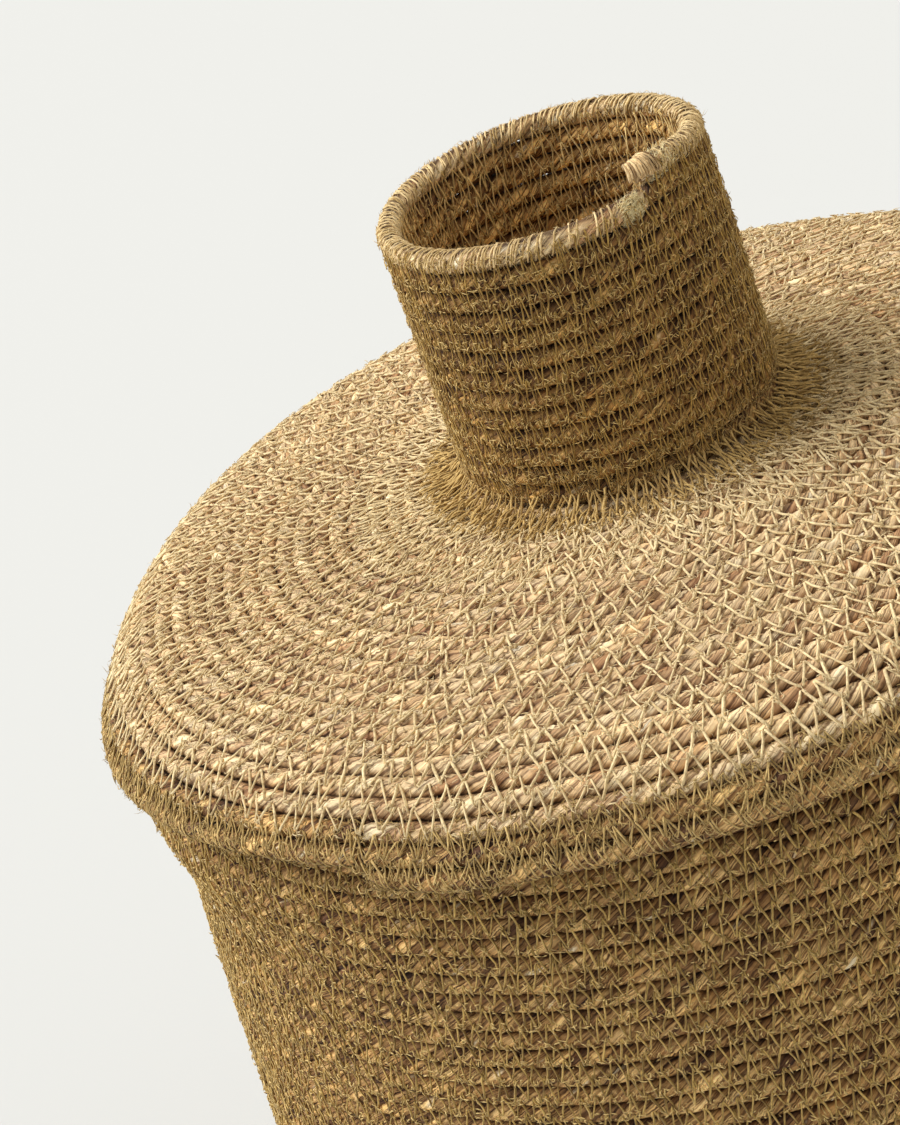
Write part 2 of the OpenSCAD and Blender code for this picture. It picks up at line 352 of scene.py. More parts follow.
def threads(name, lines, radius, sides, material, seed):
    """Closed thread stitches. lines is stitches x points x 3; a stitch comes to a point at
    each end, which is sunk in the rope."""
    lines = np.array(lines)
    count, points = lines.shape[:2]
    rng = np.random.default_rng(seed)
    lines[:, 1:-1] += rng.normal(0, 0.06, (count, points - 2, 3))
    radius = np.broadcast_to(np.asarray(radius, float), (count,))[:, None]
    radius = radius * rng.uniform(0.75, 1.15, (count, 1))
    radius = radius * rng.uniform(0.8, 1.2, (count, points - 2))
    ahead = np.gradient(lines, axis=1)
    ahead /= np.linalg.norm(ahead, axis=2)[..., None] + 1e-9
    chord = lines[:, -1] - lines[:, 0]
    middle = lines[:, points // 2] - (lines[:, 0] + lines[:, -1]) / 2
    up = middle - chord * (np.sum(middle * chord, 1) / (np.sum(chord**2, 1) + 1e-9))[:, None]
    weak = np.linalg.norm(up, axis=1) < 1e-3
    up[weak] = np.array([0.3, 0.2, 1.0])
    side = np.cross(ahead, up[:, None])
    side /= np.linalg.norm(side, axis=2)[..., None] + 1e-9
    lift = np.cross(side, ahead)
    angle = np.arange(sides) / sides * 2 * math.pi
    ring = lines[:, 1:-1, None] + radius[..., None, None] * (
        side[:, 1:-1, None] * np.cos(angle)[:, None] + lift[:, 1:-1, None] * np.sin(angle)[:, None]
    )
    rings = points - 2
    verts = np.concatenate([lines[:, :1], ring.reshape(count, -1, 3), lines[:, -1:]], 1)
    size = rings * sides + 2
    base = (np.arange(count) * size)[:, None]
    j = np.arange(sides)
    k = (j + 1) % sides
    first = np.stack([0 * j, 1 + k, 1 + j], -1)
    last = np.stack([0 * j + size - 1, size - 1 - sides + j, size - 1 - sides + k], -1)
    tris = (base[:, :, None] + np.concatenate([first, last])[None]).reshape(-1, 3)
    quads = (1 + grid_faces(rings, sides)).reshape(-1, 4)
    quads = (base[:, :, None] + quads[None]).reshape(-1, 4)
    across = math.ceil(math.sqrt(count))
    cell = np.stack([np.arange(count) % across, np.arange(count) // across], -1) / across
    shift = np.stack([rng.uniform(0, 400, count), rng.uniform(0, 40, count)], -1)

    def corners(u, v):
        """UVs of one stitch's corners, put in its own cell and, for the yarn, shifted."""
        local = np.stack([np.broadcast_to(u, v.shape), v], -1).astype(float)
        spread = BAKE_MARGIN + (1 - 2 * BAKE_MARGIN) * local[None]
        bake = cell[:, None, None] + spread / across
        return shift[:, None, None] + local[None] * [0.6, 1.0], bake

    t1, t2 = 1 / (points - 1), (points - 2) / (points - 1)
    vj, vk = j / sides, (j + 1) / sides
    tri_u = np.concatenate([np.stack([0 * vj, 0 * vj + t1, 0 * vj + t1], -1),
                            np.stack([0 * vj + 1, 0 * vj + t2, 0 * vj + t2], -1)])
    tri_v = np.concatenate([np.stack([vj, vk, vj], -1), np.stack([vj, vj, vk], -1)])
    ri = np.arange(rings - 1)[:, None]
    quad_u = np.stack([ri + 0 * j, ri + 0 * j, ri + 1 + 0 * j, ri + 1 + 0 * j], -1)
    quad_u = (quad_u.reshape(-1, 4) + 1) / (points - 1)
    quad_v = np.stack([0 * ri + vj, 0 * ri + vk, 0 * ri + vk, 0 * ri + vj], -1).reshape(-1, 4)
    tri_s, tri_b = corners(tri_u, tri_v)
    quad_s, quad_b = corners(quad_u, quad_v)
    return add_mesh(
        name, verts.reshape(-1, 3), [tris, quads], material,
        [tri_s.reshape(-1, 3, 2), quad_s.reshape(-1, 4, 2)],
        [tri_b.reshape(-1, 3, 2), quad_b.reshape(-1, 4, 2)],
    )


def over_ropes(x):
    """How far the ropes' surface is above their centres, x rows past the first of two: level
    from crest to crest, and falling away outside them."""
    beyond = np.maximum(np.maximum(-x, x - 1), 0) * ROW_PITCH
    return np.sqrt(np.maximum(ROPE_R**2 - beyond**2, 1))


def zigzag(coil, u0, u1, spacing, seed, out_sign=1, reach=0.68, jitter=0.4, lift=0.2,
           sag=0.45, shape=LONG):
    """The zigzag stitches that tie each row between u0 and u1 to the next. A leg of the
    zigzag lies over both rows' crests and its ends are sunk in the ropes."""
    rng = np.random.default_rng(seed)
    s = np.arange(coil.length(u0), coil.length(u1), spacing)
    count = len(s)
    step = rng.normal(0, jitter, count)
    v = coil.u_at(s + step)
    swing = np.where(np.arange(count) % 2 == 0, 1, -1) * reach
    swing = swing * (1 + rng.normal(0, 0.2, count)) + 0.08 * wave(s, 14, seed + 1)
    az = coil.az(v)
    t = np.asarray(shape)[None, :]

    def between(x):
        return x[:-1, None] + (x[1:, None] - x[:-1, None]) * t

    row, x = between(v), 0.5 + between(swing)
    dip = sag * np.sin(math.pi * np.clip(x, 0, 1)) * rng.uniform(0.2, 1.3, (count - 1, 1))
    height = over_ropes(x) + lift - dip
    height = height + rng.normal(0, 0.05, (count - 1, 1)) - 0.75 * ((t <= 0) | (t >= 1))
    bend = rng.normal(0, 0.2, (count - 1, 1)) * np.sin(math.pi * t)
    around = between(az) + bend / np.maximum(coil.section(row)[0], 3)
    return coil.place(row + x, around, out_sign * height)


def windings(coil, u0, u1, spacing, seed, low, high, radius, lean=0.25):
    """Thread wound round the edge row, from 'low' to 'high' degrees round its section."""
    rng = np.random.default_rng(seed)
    s = np.arange(coil.length(u0), coil.length(u1), spacing)
    s = s + rng.normal(0, 0.3 * spacing, len(s))
    u = coil.u_at(s)
    t = np.linspace(0, 1, 9)[None, :]
    start = low + rng.normal(0, 16, len(s))[:, None]
    end = high + rng.normal(0, 16, len(s))[:, None]
    phi = np.radians(start + (end - start) * t)
    reach = radius + rng.normal(0, 0.07, (len(s), 1)) - 0.9 * ((t <= 0) | (t >= 1))
    az = coil.az(u)[:, None] + (lean * (t - 0.5) + rng.normal(0, 0.2, (len(s), 1)) * t) * 3 / (
        coil.section(u)[0][:, None])
    return coil.place(u[:, None] + 0 * t, az, reach * np.cos(phi), reach * np.sin(phi))


def hairs(coil, u0, u1, count, seed, length=3.0, lift=0.35, span=75, out_sign=1, curly=0.8,
          combed=None):
    """Loose fibres that lie on the ropes, some of them standing off. They point in all
    directions or, if combed, towards higher rows with that much spread."""
    rng = np.random.default_rng(seed)
    s = rng.uniform(coil.length(u0), coil.length(u1), count)
    u = coil.u_at(s)
    az = coil.az(u)
    phi = np.radians(rng.uniform(-span, span, count))
    heading = (rng.uniform(0, 2 * math.pi, count) if combed is None
               else math.pi / 2 + rng.normal(0, combed, count))
    reach = length * rng.uniform(0.4, 1.3, count)
    curl = rng.normal(0, curly, count)
    stand = lift * rng.exponential(1.0, count)
    t = np.array([0, 0.3, 0.65, 1.0])[None, :]
    bow = curl[:, None] * t * (1 - t) * reach[:, None]
    ahead = (t - 0.5) * reach[:, None]
    around = ahead * np.cos(heading)[:, None] - bow * np.sin(heading)[:, None]
    along = ahead * np.sin(heading)[:, None] + bow * np.cos(heading)[:, None]
    along = along + (ROPE_R * np.sin(phi))[:, None]
    out = (ROPE_R * np.cos(phi))[:, None] + 0.05 + stand[:, None] * t
    radius = np.maximum(coil.section(u)[0], 3)[:, None]
    return coil.place(u[:, None] + 0 * t, az[:, None] + around / radius, out_sign * out, along)


def tufts(coil, u0, u1, spacing, seed, per=3, length=2.2, reach=0.68, lift=0.5, stand=0.16):
    """Short fibres that splay from the stitches' ends, most of them back over the crest."""
    rng = np.random.default_rng(seed)
    s = np.repeat(np.arange(coil.length(u0), coil.length(u1), spacing), per)
    count = len(s)
    swing = np.where(np.arange(count) // per % 2 == 0, 1, -1)
    u = coil.u_at(s + rng.normal(0, 0.45, count))
    start = 0.5 + swing * reach * rng.normal(0.98, 0.1, count)
    heading = rng.normal(0, 1.1, count)
    size = length * rng.uniform(0.4, 1.25, count)
    t = np.array([0, 0.3, 0.65, 1.0])[None, :]
    curl = rng.normal(0, 0.8, count)[:, None] * t * (1 - t) * size[:, None]
    back = -swing * rng.choice([1, 1, 1, -0.5], count) * np.cos(heading) * size / ROW_PITCH
    x = start[:, None] + back[:, None] * t
    height = over_ropes(x) + lift
    height = height + stand * rng.exponential(1.0, (count, 1)) * t
    around = (np.sin(heading) * size)[:, None] * t + curl
    radius = np.maximum(coil.section(u)[0], 3)[:, None]
    return coil.place(u[:, None] + x, coil.az(u)[:, None] + around / radius, height)


# ---------------------------------------------------------------- materials
def new_material(name):
    material = bpy.data.materials.new(name)
    material.use_nodes = True
    tree = material.node_tree
    shader = tree.nodes["Principled BSDF"]
    return material, tree, shader


def node(tree, kind, **values):
    made = tree.nodes.new(kind)
    for key, value in values.items():
        setattr(made, key, value)
    return made


def strand_noise(tree, stretch, scale, detail, rough):
    """Noise in the strand's own coordinates: along it in cm and round it in turns."""
    uv = node(tree, "ShaderNodeUVMap", uv_map="strand")
    mapping = node(tree, "ShaderNodeMapping")
    mapping.inputs["Scale"].default_value = (*stretch, 1)
    noise = node(tree, "ShaderNodeTexNoise")
    noise.inputs["Scale"].default_value = scale
    noise.inputs["Detail"].default_value = detail
    noise.inputs["Roughness"].default_value = rough
    tree.links.new(uv.outputs["UV"], mapping.inputs["Vector"])
    tree.links.new(mapping.outputs["Vector"], noise.inputs["Vector"])
    return noise.outputs["Fac"]


def ramp(tree, fac, stops):
    made = node(tree, "ShaderNodeValToRGB")
    elements = made.color_ramp.elements
    while len(elements) < len(stops):
        elements.new(0.5)
    for element, (at, colour) in zip(elements, stops):
        element.position = at
        element.color = (*colour, 1)
    tree.links.new(fac, made.inputs["Fac"])
    return made.outputs["Color"]


def mix(tree, fac, a, b, blend="MIX"):
    made = node(tree, "ShaderNodeMix", data_type="RGBA", blend_type=blend)
    factor, first, second = (made.inputs[k] for k in (0, 6, 7))     # the colour sockets
    for value, socket in ((fac, factor), (a, first), (b, second)):
        if isinstance(value, bpy.types.NodeSocket):
            tree.links.new(value, socket)
        elif isinstance(value, (int, float)):
            socket.default_value = value
        else:
            socket.default_value = (*value, 1)
    return made.outputs[2]


def bump(tree, height, strength, distance):
    made = node(tree, "ShaderNodeBump")
    made.inputs["Strength"].default_value = strength
    made.inputs["Distance"].default_value = distance
    tree.links.new(height, made.inputs["Height"])
    return made.outputs["Normal"]


def maths(tree, operation, a, b=None):
    made = node(tree, "ShaderNodeMath", operation=operation)
    for value, socket in ((a, made.inputs[0]), (b, made.inputs[1])):
        if isinstance(value, bpy.types.NodeSocket):
            tree.links.new(value, socket)
        elif value is not None:
            socket.default_value = value
    return made.outputs[0]


def bundles(tree):
    """The bundles of a rope, from its strand coordinates: how near a point is to the groove
    between two, and a tone for each bundle that changes slowly along it."""
    uv = node(tree, "ShaderNodeUVMap", uv_map="strand")
    split = node(tree, "ShaderNodeSeparateXYZ")
    tree.links.new(uv.outputs["UV"], split.inputs["Vector"])
    turns = maths(tree, "MULTIPLY", split.outputs["Y"], LOBES)
    crest = maths(tree, "ABSOLUTE", maths(tree, "COSINE", maths(tree, "MULTIPLY", turns, math.pi)))
    which = maths(tree, "FLOOR", maths(tree, "ADD", turns, 0.5))
    join = node(tree, "ShaderNodeCombineXYZ")
    tree.links.new(maths(tree, "MULTIPLY", split.outputs["X"], 0.45), join.inputs["X"])
    tree.links.new(maths(tree, "MULTIPLY", which, 7.31), join.inputs["Y"])
    tone = node(tree, "ShaderNodeTexNoise")
    tone.inputs["Scale"].default_value = 1.0
    tone.inputs["Detail"].default_value = 1.5
    tree.links.new(join.outputs["Vector"], tone.inputs["Vector"])
    return crest, tone.outputs["Fac"]


def rope_material(name, dark, mid, light, pale, flake_at=0.70, grain=1.0, inside=(1, 1, 1)):
    """Dry grass blades twisted into rope: bundles of differing tone with fine fibres along
    the twist, painted shade in the grooves and between rows, and some pale flakes of stem.
    'inside' multiplies the colour of the side that faces into the coil: painted light."""
    material, tree, shader = new_material(name)
    crest, tone = bundles(tree)
    fibres = strand_noise(tree, (0.30, 14.0), 2.6, 3, 0.7)
    blades = strand_noise(tree, (0.22, 6.0), 2.3, 2, 0.5)
    patches = strand_noise(tree, (0.06, 0.12), 2.0, 3, 0.6)
    flakes = strand_noise(tree, (0.55, 2.4), 1.9, 1, 0.4)
    colour = ramp(tree, tone, [(0.32, dark), (0.47, mid), (0.64, light)])
    band = ramp(tree, blades, [(0.38, (0.60, 0.48, 0.38)), (0.5, (1, 1, 1)),
                               (0.62, (1.3, 1.3, 1.22))])
    colour = mix(tree, 0.85 * grain, colour, band, "MULTIPLY")
    line = ramp(tree, fibres, [(0.40, (0.14, 0.09, 0.05)), (0.465, (0.86, 0.82, 0.76)),
                               (0.56, (1.1, 1.1, 1.06)), (0.64, (1.45, 1.42, 1.32))])
    colour = mix(tree, grain, colour, line, "MULTIPLY")
    area = ramp(tree, patches, [(0.36, (0.66, 0.58, 0.50)), (0.52, (1, 1, 1)),
                                (0.66, (1.2, 1.16, 1.05))])
    colour = mix(tree, 0.75, colour, area, "MULTIPLY")
    shown = ramp(tree, flakes, [(flake_at, (0, 0, 0)), (flake_at + 0.05, (1, 1, 1))])
    colour = mix(tree, shown, colour, mix(tree, 0.7, pale, line, "MULTIPLY"))
    # painted shade: the colour darkens towards the grooves between the rope's bundles
    groove = ramp(tree, crest, [(0.0, (0.16, 0.10, 0.06)), (0.24, (0.58, 0.50, 0.44)),
                                (0.55, (1, 1, 1))])
    colour = mix(tree, 0.9, colour, groove, "MULTIPLY")
    # painted shade: the rope darkens where it turns towards the next rows and touches them
    side = node(tree, "ShaderNodeAttribute", attribute_name="side").outputs["Fac"]
    between = ramp(tree, side, [(0.62, (1, 1, 1)), (0.86, (0.6, 0.52, 0.44)),
                                (0.97, (0.16, 0.11, 0.07))])
    colour = mix(tree, 1.0, colour, between, "MULTIPLY")
    # painted light: the side facing into the coil is lightened and turned bluish, standing in for
    # the light inside the knob
    if inside != (1, 1, 1):
        inner = node(tree, "ShaderNodeAttribute", attribute_name="inner").outputs["Fac"]
        colour = mix(tree, 1.0, colour, ramp(tree, inner, [(0.4, (1, 1, 1)), (0.6, inside)]),
                     "MULTIPLY")
    tree.links.new(colour, shader.inputs["Base Color"])
    gloss = ramp(tree, fibres, [(0.35, (0.85,) * 3), (0.65, (0.5,) * 3)])
    tree.links.new(gloss, shader.inputs["Roughness"])
    tree.links.new(bump(tree, fibres, 1.0, 0.00035), shader.inputs["Normal"])
    shader.inputs["Specular IOR Level"].default_value = 0.4
    return material


def thread_material(name, dark, light):
    """Spun sewing thread: soft, matt, a little uneven in tone."""
    material, tree, shader = new_material(name)
    tone = strand_noise(tree, (0.9, 0.6), 2.0, 3, 0.6)
    colour = ramp(tree, tone, [(0.36, dark), (0.62, light)])
    specks = strand_noise(tree, (9.0, 1.5), 2.0, 2, 0.7)
    speck = ramp(tree, specks, [(0.38, (0.66, 0.6, 0.52)), (0.5, (1, 1, 1)),
                                (0.64, (1.18, 1.15, 1.1))])
    colour = mix(tree, 0.9, colour, speck, "MULTIPLY")
    tree.links.new(colour, shader.inputs["Base Color"])
    ply = strand_noise(tree, (9.0, 3.0), 2.0, 1, 0.5)
    tree.links.new(bump(tree, ply, 0.5, 0.0001), shader.inputs["Normal"])
    shader.inputs["Roughness"].default_value = 0.85
    shader.inputs["Specular IOR Level"].default_value = 0.25
    shader.inputs["Sheen Weight"].default_value = 0.15
    return material


BODY_ROPE = rope_material("body_rope", (0.15, 0.064, 0.022), (0.52, 0.30, 0.108),
                          (0.96, 0.66, 0.29), (0.92, 0.78, 0.53))
LID_ROPE = rope_material("lid_rope", (0.52, 0.29, 0.140), (0.92, 0.675, 0.385),
                         (0.96, 0.785, 0.51), (0.90, 0.77, 0.56), grain=0.72)
# the knob rope's inward side is lightened and blued by 'inside' as painted light
KNOB_ROPE = rope_material("knob_rope", (0.12, 0.052, 0.016), (0.36, 0.195, 0.060),
                          (0.74, 0.46, 0.160), (0.80, 0.62, 0.36), inside=(1.6, 1.75, 2.05))
# the bare end of the knob's rope is pale, and its colour is also pushed to near white as painted
# light for the light its top catches
END_ROPE = rope_material("rope_end", (0.82, 0.50, 0.27), (1.0, 0.77, 0.45),
                         (1.0, 0.87, 0.60), (1.0, 0.90, 0.66), flake_at=0.66, grain=0.6)
# the fuzz at the rope's end is pale, and is made brighter still as painted light for the light on
# the rim's top
END_FUZZ = thread_material("rope_end_fuzz", (0.86, 0.64, 0.30), (1.0, 0.92, 0.56))
END_BLADES = thread_material("rope_end_blades", (0.20, 0.105, 0.038), (1.0, 0.73, 0.38))
BODY_THREAD = thread_material("sewing_thread", (0.20, 0.117, 0.026), (0.68, 0.462, 0.143))
KNOB_THREAD = thread_material("knob_thread", (0.175, 0.092, 0.018), (0.575, 0.372, 0.098))
# painted light: a much lighter copy of the knob's thread for the shaded inside of the knob
INSIDE_PAINTED_LIGHT_THREAD = thread_material("knob_inside_thread_painted_light", (0.46, 0.29, 0.085), (1.0, 0.74, 0.32))
RIM_THREAD = thread_material("knob_rim_thread", (0.44, 0.29, 0.105), (0.94, 0.72, 0.38))
LID_THREAD = thread_material("lid_thread", (0.605, 0.445, 0.218), (0.915, 0.742, 0.428))
FOOT_THREAD = thread_material("foot_thread", (0.30, 0.178, 0.048), (0.72, 0.495, 0.182))
TUFT_THREAD = thread_material("tuft_thread", (0.33, 0.21, 0.055), (0.90, 0.65, 0.255))
BINDING_THREAD = thread_material("binding_thread", (0.26, 0.160, 0.043), (0.72, 0.51, 0.200))


# ---------------------------------------------------------------- the coils
BODY_ROWS = body_profile()
LID_ROWS = lid_profile()
KNOB_POINTS = knob_profile(LID_ROWS)
body = Coil(BODY_ROWS, -1, RIM_END_AZ, body_warp)
lid = Coil(LID_ROWS, 1, SKIRT_END_AZ, lid_warp, tip)
knob = Coil(KNOB_POINTS, -1, KNOB_END_AZ, knob_warp, tip)


# ---------------------------------------------------------------- the basket
WALL_NODES = ("wall_lower_coil", "wall_middle_coil", "wall_upper_coil")


def spans(*cuts):
    """The stretches between cuts, numbered from 0."""
    return enumerate(zip(cuts, cuts[1:]))


def finish_piece(piece, part, slot, *nodes):
    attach(piece, part)
    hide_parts(*nodes)


def sew(name, part, slot, material, seam, lines, radius, sides, seed):
    piece = threads(name, lines, radius, sides, material, seed)
    finish_piece(piece, part, slot, seam)


def make_basket_body():
    finish_piece(rope("base_rope", body, ROPE_START, WALL_FOOT, 2.5, 10, BODY_ROPE, 21, 6),
                 "basket", "body_rope", "base_coil", "corner_coil")
    for i, (a, b) in spans(WALL_FOOT, 49, 55, 61, 67, 73, RIM_ROW - 1):
        step, sides = (2.3, 10) if i == 0 else (1.3, 14)
        finish_piece(rope(f"wall_rope_{i + 1}", body, a, b, step, sides, BODY_ROPE, 31),
                     "basket", "body_rope", *WALL_NODES)
    finish_piece(rope("rim_rope", body, RIM_ROW - 1, RIM_ROW, 1.5, 12, BODY_ROPE, 31, 0, 12),
                 "basket", "body_rope", "rim_coil", "rim_rope_end")
    lines = windings(body, RIM_ROW - 1, RIM_ROW, 1.5, 41, -70, 250, ROPE_R + 0.2)
    sew("rim_winding", "basket", "binding_thread", BINDING_THREAD, "rim_binding", lines,
        0.32, 4, 42)
    for i, (a, b) in spans(WALL_FOOT, 47, 55, 61, 67, 73, RIM_ROW - 1):
        lines = zigzag(body, a, b, WALL_STITCH, 50 + i, shape=SHORT if i == 0 else LONG)
        sew(f"wall_stitching_{i + 1}", "basket", "sewing_thread", BODY_THREAD,
            "wall_outer_seam", lines, 0.27, 3 if i == 0 else 4, 60 + i)
    for i, (a, b) in spans(WALL_FOOT, 56, RIM_ROW - 1):
        lines = zigzag(body, a, b, HIDDEN_STITCH, 70 + i, -1, shape=SHORT)
        sew(f"wall_inner_stitching_{i + 1}", "basket", "sewing_thread", BODY_THREAD,
            "wall_inner_seam", lines, THREAD_R, 3, 80 + i)
    lines = zigzag(body, 1.5, WALL_FOOT, HIDDEN_STITCH, 90, 1, lift=-0.5, shape=SHORT)
    sew("base_stitching", "basket", "sewing_thread", BODY_THREAD, "base_outer_seam", lines,
        THREAD_R, 3, 91)
    lines = zigzag(body, 1.5, WALL_FOOT, HIDDEN_STITCH, 92, -1, shape=SHORT)
    sew("base_inner_stitching", "basket", "sewing_thread", BODY_THREAD, "base_inner_seam",
        lines, THREAD_R, 3, 93)
    lines = hairs(body, 52, RIM_ROW - 1, 4200, 95, 2.4, 0.15, 40, curly=1.3)
    sew("wall_fuzz", "basket", "sewing_thread", BODY_THREAD, "wall_outer_seam", lines,
        0.12, 3, 96)
    for i, (a, b) in spans(49, 59, 68, RIM_ROW - 1):
        lines = tufts(body, a, b, WALL_STITCH, 101 + i, 2 if i == 0 else 3)
        sew(f"wall_tufts_{i + 1}", "basket", "sewing_thread", TUFT_THREAD, "wall_outer_seam",
            lines, 0.17, 3, 105 + i)


def make_lid():
    finish_piece(rope("lid_centre_rope", lid, ROPE_START, CENTRE_END, 1.6, 10, LID_ROPE, 121, 6),
                 "lid", "lid_rope", "lid_centre_coil")
    for i, (a, b) in spans(CENTRE_END, 15, 20, DOME_ROWS):
        finish_piece(rope(f"lid_dome_rope_{i + 1}", lid, a, b, 1.0, 16, LID_ROPE, 121),
                     "lid", "lid_rope", "lid_dome_coil")
    finish_piece(rope("lid_shoulder_rope", lid, DOME_ROWS, SKIRT_START + 1, 1.0, 16, LID_ROPE,
                      121),
                 "lid", "lid_rope", "lid_shoulder_coil")
    finish_piece(rope("skirt_rope", lid, SKIRT_START + 1, SKIRT_ROW - 1, 1.2, 12, BODY_ROPE, 121),
                 "lid", "body_rope", "lid_skirt_coil")
    finish_piece(rope("skirt_edge_rope", lid, SKIRT_ROW - 1, SKIRT_ROW, 1.2, 12, BODY_ROPE,
                      121, 0, 12),
                 "lid", "body_rope", "skirt_edge_coil", "skirt_rope_end")
    lines = zigzag(lid, OUTSIDE_KNOB, SKIRT_START + 0.6, LID_STITCH, 131, jitter=0.6)
    sew("lid_stitching", "lid", "lid_thread", LID_THREAD, "lid_outer_seam", lines, 0.35, 4, 132)
    lines = zigzag(lid, OUTSIDE_KNOB, 13.5, 2.2, 137, jitter=0.9, reach=0.8)
    sew("knob_side_stitching", "lid", "lid_thread", LID_THREAD, "lid_outer_seam", lines,
        0.29, 4, 138)
    lines = zigzag(lid, 1.5, 7.5, 2.4, 133, shape=SHORT)
    sew("lid_centre_stitching", "lid", "lid_thread", LID_THREAD, "lid_outer_seam", lines,
        THREAD_R, 3, 134)
    lines = zigzag(lid, 1.5, SKIRT_ROW - 1.2, 3.0, 135, -1, shape=SHORT)
    sew("lid_inner_stitching", "lid", "sewing_thread", BODY_THREAD, "lid_inner_seam", lines,
        THREAD_R, 3, 136)
    layers = [
        zigzag(lid, SKIRT_START + 0.35, SKIRT_ROW - 1, 2.0 - 0.4 * k, 141 + k, reach=0.5,
               jitter=0.6, lift=0.1 + 0.1 * k, sag=0.7)
        for k in range(2)
    ]
    sew("skirt_stitching", "lid", "binding_thread", BINDING_THREAD, "lid_outer_seam",
        np.concatenate(layers), 0.23, 4, 145)
    lines = windings(lid, SKIRT_ROW - 1, SKIRT_ROW - 0.003, 1.7, 151, -85, 120, ROPE_R + 0.1, 1.2)
    sew("skirt_winding", "lid", "binding_thread", BINDING_THREAD, "skirt_binding", lines,
        0.23, 4, 152)
    lines = tufts(lid, OUTSIDE_KNOB, SKIRT_START + 0.5, LID_STITCH, 159, 3, 2.4)
    sew("lid_tufts", "lid", "lid_thread", LID_THREAD, "lid_outer_seam", lines, 0.16, 3, 160)
    lines = hairs(lid, SKIRT_START + 0.6, SKIRT_ROW, 4500, 161, 2.8, 0.2, 60, curly=1.3)
    sew("skirt_tangles", "lid", "binding_thread", BINDING_THREAD, "lid_outer_seam", lines,
        0.16, 3, 162)
    lines = hairs(lid, OUTSIDE_KNOB, SKIRT_START, 7300, 155, 3.0, 0.3, curly=1.2)
    sew("lid_fuzz", "lid", "lid_thread", LID_THREAD, "lid_outer_seam", lines, 0.10, 3, 156)
    lines = hairs(lid, SKIRT_START + 0.5, SKIRT_ROW, 4500, 157, 2.6, 0.5)
    sew("skirt_fuzz", "lid", "binding_thread", BINDING_THREAD, "lid_outer_seam", lines,
        0.075, 3, 158)


def make_knob():
    finish_piece(rope("knob_rope", knob, 0.75, KNOB_ROWS - 1, 1.0, 14, KNOB_ROPE, 221, 6),
                 "lid", "body_rope", "knob_coil")
    finish_piece(rope("knob_rim_rope", knob, KNOB_ROWS - 1, KNOB_ROWS, 0.8, 18, END_ROPE,
                      221, 0, 6),
                 "lid", "rope_end", "knob_rim_coil", "knob_rope_end")
    lines = zigzag(knob, 1.0, KNOB_ROWS - 1, KNOB_STITCH, 231, reach=0.72, jitter=0.45)
    sew("knob_stitching", "lid", "sewing_thread", KNOB_THREAD, "knob_outer_seam", lines,
        0.21, 4, 232)
    lines = zigzag(knob, 1.0, KNOB_ROWS - 1, 1.4, 233, -1)
    sew("knob_inner_stitching", "lid", "sewing_thread", INSIDE_PAINTED_LIGHT_THREAD, "knob_inner_seam", lines,
        0.24, 3, 234)
    lines = hairs(knob, 1.0, KNOB_ROWS - 1, 3500, 235, 2.2, 0.1, 45, -1, curly=1.3)
    sew("knob_inner_tangles", "lid", "sewing_thread", INSIDE_PAINTED_LIGHT_THREAD, "knob_inner_seam", lines,
        0.17, 3, 236)
    # the winding has gaps where the rope has worn bare, next to its cut end
    rim = [(-0.958, -0.946, 1.4), (-0.92, -0.895, 2.0), (-0.89, -0.02, 0.95)]
    lines = [windings(knob, KNOB_ROWS + a, KNOB_ROWS + b, spacing, 241 + i, -95, 225,
                      ROPE_R + 0.28, 1.6)
             for i, (a, b, spacing) in enumerate(rim)]
    sew("knob_rim_winding", "lid", "binding_thread", RIM_THREAD, "knob_rim_binding",
        np.concatenate(lines), 0.26, 4, 242)
    lines = tufts(knob, 1.0, KNOB_ROWS - 1, KNOB_STITCH, 249, 3, 2.1, 0.72)
    sew("knob_tufts", "lid", "sewing_thread", TUFT_THREAD, "knob_outer_seam", lines,
        0.13, 3, 250)
    lines = hairs(knob, 1.0, KNOB_ROWS, 4300, 243, 2.4, 0.2)
    sew("knob_fuzz", "lid", "sewing_thread", KNOB_THREAD, "knob_outer_seam", lines,
        0.085, 3, 244)
    lines = hairs(knob, KNOB_ROWS - 1, KNOB_ROWS, 2800, 245, 2.4, 0.35, 150)
    sew("knob_rim_fuzz", "lid", "binding_thread", RIM_THREAD, "knob_rim_binding", lines,
        0.07, 3, 246)
    clumps = [
        hairs(knob, KNOB_ROWS - 0.045, KNOB_ROWS - 0.010, 260, 247, 3.2, 0.3, 170, curly=1.0),
        hairs(knob, KNOB_ROWS - 0.990, KNOB_ROWS - 0.969, 380, 256, 2.8, 0.25, 75, curly=0.9),
    ]
    sew("knob_end_fuzz", "lid", "binding_thread", END_FUZZ, "knob_rim_binding",
        np.concatenate(clumps), 0.10, 3, 248)
    make_knob_foot()
    make_knob_end()


